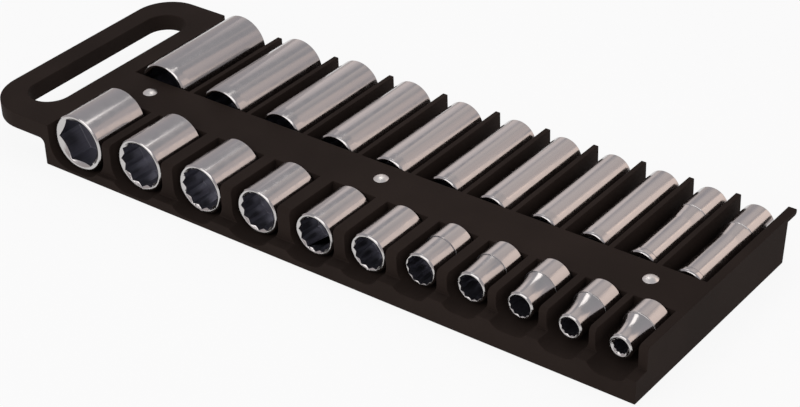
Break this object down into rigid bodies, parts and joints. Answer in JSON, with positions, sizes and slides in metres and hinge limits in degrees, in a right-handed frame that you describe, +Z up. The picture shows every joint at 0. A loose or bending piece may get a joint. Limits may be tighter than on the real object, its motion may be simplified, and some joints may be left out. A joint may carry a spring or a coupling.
{
  "type": "magnetic socket holder",
  "caption": "Magnetic tray with a handle at one end that carries a row of shallow and a row of deep sockets, each in its own pocket, on both sides of a riveted web.",
  "frame": {"origin": "middle of the base's bounding box, on the plane the tray lies on", "axes": "+X along the rows from the handle to the smallest sizes, +Y from the shallow row to the deep row, +Z up"},
  "size_m": [0.3826, 0.1366, 0.0325],
  "materials": {
    "tray_plastic": "moulded black, satin",
    "pole_steel": "rolled strip",
    "ferrite": "ground ceramic magnet, dark grey",
    "cover_aluminium": "rolled strip",
    "rivet_aluminium": "satin",
    "socket_chrome": "satin chrome plate over forged steel"
  },
  "bodies": {
    "holder": {"tray": "tray_plastic", "front_pole_plate": "pole_steel", "rear_pole_plate": "pole_steel", "magnets": "ferrite", "magnet_cover": "cover_aluminium", "rivets": "rivet_aluminium"},
    "shallow_7_8": {"shallow_socket_7_8": "socket_chrome"},
    "deep_7_8": {"deep_socket_7_8": "socket_chrome"},
    "shallow_13_16": {"shallow_socket_13_16": "socket_chrome"},
    "deep_13_16": {"deep_socket_13_16": "socket_chrome"},
    "shallow_3_4": {"shallow_socket_3_4": "socket_chrome"},
    "deep_3_4": {"deep_socket_3_4": "socket_chrome"},
    "shallow_11_16": {"shallow_socket_11_16": "socket_chrome"},
    "deep_11_16": {"deep_socket_11_16": "socket_chrome"},
    "shallow_5_8": {"shallow_socket_5_8": "socket_chrome"},
    "deep_5_8": {"deep_socket_5_8": "socket_chrome"},
    "shallow_9_16": {"shallow_socket_9_16": "socket_chrome"},
    "deep_9_16": {"deep_socket_9_16": "socket_chrome"},
    "shallow_1_2": {"shallow_socket_1_2": "socket_chrome"},
    "deep_1_2": {"deep_socket_1_2": "socket_chrome"},
    "shallow_7_16": {"shallow_socket_7_16": "socket_chrome"},
    "deep_7_16": {"deep_socket_7_16": "socket_chrome"},
    "shallow_3_8": {"shallow_socket_3_8": "socket_chrome"},
    "deep_3_8": {"deep_socket_3_8": "socket_chrome"},
    "shallow_5_16": {"shallow_socket_5_16": "socket_chrome"},
    "deep_5_16": {"deep_socket_5_16": "socket_chrome"},
    "shallow_1_4": {"shallow_socket_1_4": "socket_chrome"},
    "deep_1_4": {"deep_socket_1_4": "socket_chrome"}
  },
  "joints": [
    {"name": "lift_shallow_7_8", "type": "slide", "parent": "holder", "child": "shallow_7_8", "axis": [0, 0, 1], "range_m": [0, 0.04]},
    {"name": "lift_deep_7_8", "type": "slide", "parent": "holder", "child": "deep_7_8", "axis": [0, 0, 1], "range_m": [0, 0.04]},
    {"name": "lift_shallow_13_16", "type": "slide", "parent": "holder", "child": "shallow_13_16", "axis": [0, 0, 1], "range_m": [0, 0.04]},
    {"name": "lift_deep_13_16", "type": "slide", "parent": "holder", "child": "deep_13_16", "axis": [0, 0, 1], "range_m": [0, 0.04]},
    {"name": "lift_shallow_3_4", "type": "slide", "parent": "holder", "child": "shallow_3_4", "axis": [0, 0, 1], "range_m": [0, 0.04]},
    {"name": "lift_deep_3_4", "type": "slide", "parent": "holder", "child": "deep_3_4", "axis": [0, 0, 1], "range_m": [0, 0.04]},
    {"name": "lift_shallow_11_16", "type": "slide", "parent": "holder", "child": "shallow_11_16", "axis": [0, 0, 1], "range_m": [0, 0.04]},
    {"name": "lift_deep_11_16", "type": "slide", "parent": "holder", "child": "deep_11_16", "axis": [0, 0, 1], "range_m": [0, 0.04]},
    {"name": "lift_shallow_5_8", "type": "slide", "parent": "holder", "child": "shallow_5_8", "axis": [0, 0, 1], "range_m": [0, 0.04]},
    {"name": "lift_deep_5_8", "type": "slide", "parent": "holder", "child": "deep_5_8", "axis": [0, 0, 1], "range_m": [0, 0.04]},
    {"name": "lift_shallow_9_16", "type": "slide", "parent": "holder", "child": "shallow_9_16", "axis": [0, 0, 1], "range_m": [0, 0.04]},
    {"name": "lift_deep_9_16", "type": "slide", "parent": "holder", "child": "deep_9_16", "axis": [0, 0, 1], "range_m": [0, 0.04]},
    {"name": "lift_shallow_1_2", "type": "slide", "parent": "holder", "child": "shallow_1_2", "axis": [0, 0, 1], "range_m": [0, 0.04]},
    {"name": "lift_deep_1_2", "type": "slide", "parent": "holder", "child": "deep_1_2", "axis": [0, 0, 1], "range_m": [0, 0.04]},
    {"name": "lift_shallow_7_16", "type": "slide", "parent": "holder", "child": "shallow_7_16", "axis": [0, 0, 1], "range_m": [0, 0.04]},
    {"name": "lift_deep_7_16", "type": "slide", "parent": "holder", "child": "deep_7_16", "axis": [0, 0, 1], "range_m": [0, 0.04]},
    {"name": "lift_shallow_3_8", "type": "slide", "parent": "holder", "child": "shallow_3_8", "axis": [0, 0, 1], "range_m": [0, 0.04]},
    {"name": "lift_deep_3_8", "type": "slide", "parent": "holder", "child": "deep_3_8", "axis": [0, 0, 1], "range_m": [0, 0.04]},
    {"name": "lift_shallow_5_16", "type": "slide", "parent": "holder", "child": "shallow_5_16", "axis": [0, 0, 1], "range_m": [0, 0.04]},
    {"name": "lift_deep_5_16", "type": "slide", "parent": "holder", "child": "deep_5_16", "axis": [0, 0, 1], "range_m": [0, 0.04]},
    {"name": "lift_shallow_1_4", "type": "slide", "parent": "holder", "child": "shallow_1_4", "axis": [0, 0, 1], "range_m": [0, 0.04]},
    {"name": "lift_deep_1_4", "type": "slide", "parent": "holder", "child": "deep_1_4", "axis": [0, 0, 1], "range_m": [0, 0.04]}
  ]
}
